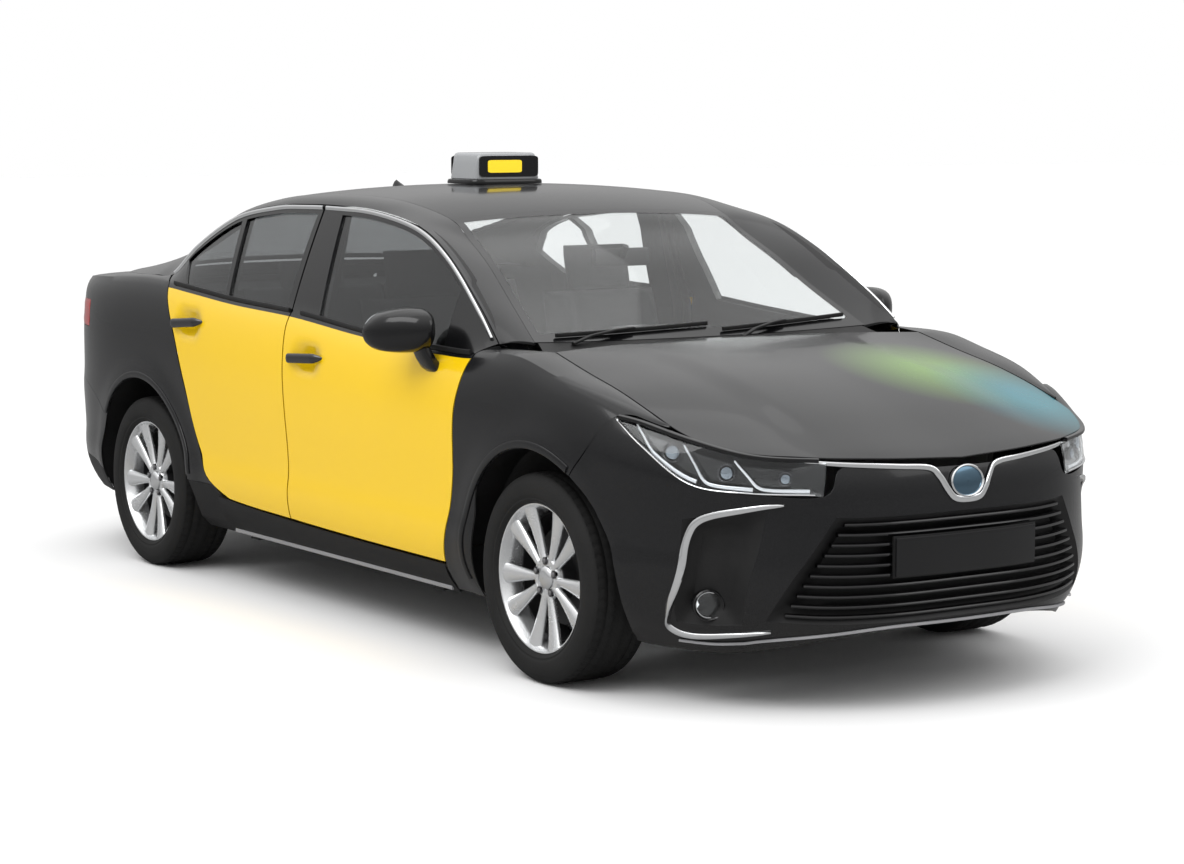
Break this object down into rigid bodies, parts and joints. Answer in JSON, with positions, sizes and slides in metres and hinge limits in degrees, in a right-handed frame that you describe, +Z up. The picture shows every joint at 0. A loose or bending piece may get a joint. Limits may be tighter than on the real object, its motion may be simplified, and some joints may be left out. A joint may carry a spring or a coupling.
{
  "type": "taxi car",
  "caption": "Four-door saloon taxi with a roof sign, hinged doors, hood and boot lid, a steering wheel linked to steered front wheels, and wheels that roll.",
  "frame": {"origin": "on the ground under the middle of the bounding box", "axes": "+X forward, +Y to the car's left, +Z up"},
  "size_m": [4.6312, 2.08, 1.5498],
  "materials": {
    "body_paint": "gloss metallic",
    "door_paint": "gloss",
    "underbody": "satin",
    "black_plastic": "satin",
    "lamp_glass": "clear",
    "red_lens": "gloss",
    "glass": "clear",
    "dark_glass": "tinted",
    "seat_cloth": "woven",
    "sign_white": "gloss",
    "cast": "cast",
    "steel": "plain",
    "alloy": "polished",
    "tyre": "matte"
  },
  "bodies": {
    "body": {"floor_pan": "underbody", "body_frame": "body_paint", "side_rails": "body_paint", "quarter_panels": "body_paint", "roof": "body_paint", "front_fenders": "body_paint", "front_bumper": "body_paint", "bumper_inserts": "black_plastic", "front_lamps": "lamp_glass", "fog_lamps": "lamp_glass", "front_plate": "black_plastic", "rear_bumper": "body_paint", "tail_lamps": "red_lens", "windscreen": "glass", "rear_window": "glass", "dashboard": "black_plastic", "front_seats": "seat_cloth", "rear_bench": "seat_cloth", "sign_base": "black_plastic", "sign_box": "sign_white", "fin_aerial": "black_plastic", "wipers": "black_plastic", "engine": "cast", "front_subframe": "steel", "rear_axle": "steel", "exhaust": "steel", "arch_liners": "black_plastic", "cabin_mirror": "black_plastic", "hinge_pins": "steel"},
    "door_fl": {"door_front_left": "door_paint", "glass_front_left": "dark_glass", "mirror_left": "black_plastic"},
    "door_fr": {"door_front_right": "door_paint", "glass_front_right": "dark_glass", "mirror_right": "black_plastic"},
    "door_rl": {"door_rear_left": "door_paint", "glass_rear_left": "dark_glass"},
    "door_rr": {"door_rear_right": "door_paint", "glass_rear_right": "dark_glass"},
    "hood_lid": {"hood": "body_paint"},
    "boot": {"boot_lid": "body_paint"},
    "helm": {"steering_wheel": "black_plastic"},
    "steer_l": {"knuckle_left": "steel"},
    "steer_r": {"knuckle_right": "steel"},
    "roll_fl": {"wheel_front_left": "alloy", "tyre_front_left": "tyre"},
    "roll_fr": {"wheel_front_right": "alloy", "tyre_front_right": "tyre"},
    "roll_rl": {"wheel_rear_left": "alloy", "tyre_rear_left": "tyre"},
    "roll_rr": {"wheel_rear_right": "alloy", "tyre_rear_right": "tyre"}
  },
  "joints": [
    {"name": "door_front_left_hinge", "type": "hinge", "parent": "body", "child": "door_fl", "pos_m": [0.825, 0.844, 0.445], "axis": [0, 0, -1], "range_deg": [0, 65]},
    {"name": "door_front_right_hinge", "type": "hinge", "parent": "body", "child": "door_fr", "pos_m": [0.825, -0.844, 0.445], "axis": [0, 0, 1], "range_deg": [0, 65]},
    {"name": "door_rear_left_hinge", "type": "hinge", "parent": "body", "child": "door_rl", "pos_m": [-0.252, 0.844, 0.445], "axis": [0, 0, -1], "range_deg": [0, 66]},
    {"name": "door_rear_right_hinge", "type": "hinge", "parent": "body", "child": "door_rr", "pos_m": [-0.252, -0.844, 0.445], "axis": [0, 0, 1], "range_deg": [0, 66]},
    {"name": "hood_hinge", "type": "hinge", "parent": "body", "child": "hood_lid", "pos_m": [1.18, 0, 0.938], "axis": [0, -1, 0], "range_deg": [0, 50]},
    {"name": "boot_hinge", "type": "hinge", "parent": "body", "child": "boot", "pos_m": [-1.778, 0, 1.05], "axis": [0, 1, 0], "range_deg": [0, 70]},
    {"name": "steering_column", "type": "hinge", "parent": "body", "child": "helm", "pos_m": [0.57, 0.37, 0.775], "axis": [-0.9063, 0, 0.4226], "range_deg": [-480, 480]},
    {"name": "kingpin_left", "type": "hinge", "parent": "body", "child": "steer_l", "pos_m": [1.37, 0.65, 0.317], "axis": [0, -0.1822, 0.9833], "range_deg": [-33.6, 33.6]},
    {"name": "kingpin_right", "type": "hinge", "parent": "body", "child": "steer_r", "pos_m": [1.37, -0.65, 0.317], "axis": [0, 0.1822, 0.9833], "range_deg": [-33.6, 33.6]},
    {"name": "front_left_axle", "type": "hinge", "parent": "steer_l", "child": "roll_fl", "pos_m": [1.37, 0.7575, 0.317], "axis": [0, 1, 0], "continuous": true},
    {"name": "front_right_axle", "type": "hinge", "parent": "steer_r", "child": "roll_fr", "pos_m": [1.37, -0.7575, 0.317], "axis": [0, 1, 0], "continuous": true},
    {"name": "rear_left_axle", "type": "hinge", "parent": "body", "child": "roll_rl", "pos_m": [-1.33, 0.7575, 0.317], "axis": [0, 1, 0], "continuous": true},
    {"name": "rear_right_axle", "type": "hinge", "parent": "body", "child": "roll_rr", "pos_m": [-1.33, -0.7575, 0.317], "axis": [0, 1, 0], "continuous": true}
  ],
  "couplings": [
    {"joint": "kingpin_left", "follows": "steering_column", "ratio": 0.07},
    {"joint": "kingpin_right", "follows": "steering_column", "ratio": 0.07}
  ]
}
